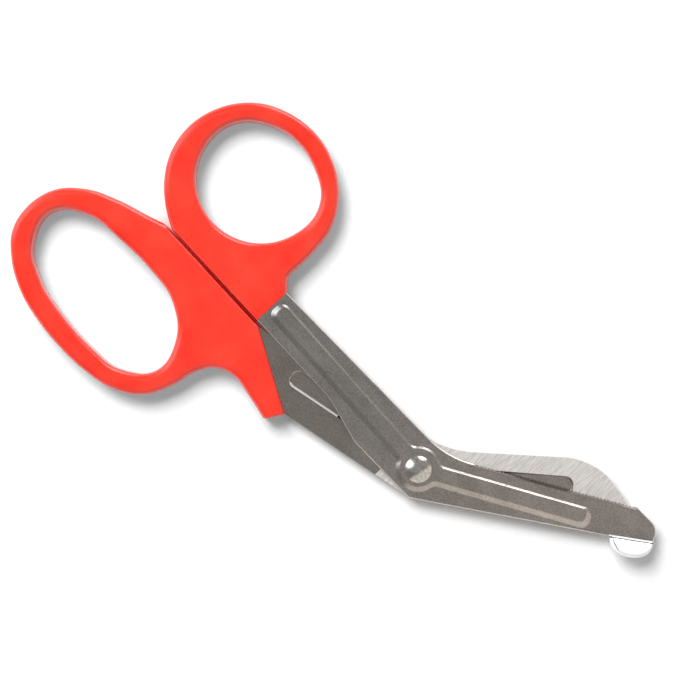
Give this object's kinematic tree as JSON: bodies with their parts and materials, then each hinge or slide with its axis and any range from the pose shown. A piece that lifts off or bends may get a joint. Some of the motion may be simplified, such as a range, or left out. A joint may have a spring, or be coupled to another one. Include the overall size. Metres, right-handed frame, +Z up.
{
  "type": "bandage scissors",
  "caption": "Angled bandage scissors with moulded loop handles, a toothed blade ending in a blunt foot, and a riveted pivot.",
  "frame": {"origin": "on the pivot axis, at the height that the scissors rest on (the flat underside of the rivet)", "axes": "+X from the loops towards the tips, +Y towards the thumb loop, +Z up, out of the side with the rivet's domed head"},
  "size_m": [0.1811, 0.0884, 0.0094],
  "materials": {
    "handle_plastic": "moulded, satin gloss, orange-red",
    "stamped_steel": "tumbled, warm grey, satin",
    "ground_steel": "inner face ground with fine cross lines, the rest tumbled",
    "rivet_steel": "polished dome"
  },
  "bodies": {
    "finger_half": {"finger_handle": "handle_plastic", "back_blade": "ground_steel", "pivot_rivet": "rivet_steel"},
    "thumb_half": {"thumb_handle": "handle_plastic", "front_blade": "stamped_steel"}
  },
  "joints": [
    {"name": "pivot_hinge", "type": "hinge", "parent": "finger_half", "child": "thumb_half", "pos_m": [0, 0, 0], "axis": [0, 0, -1], "range_deg": [0, 70]}
  ]
}
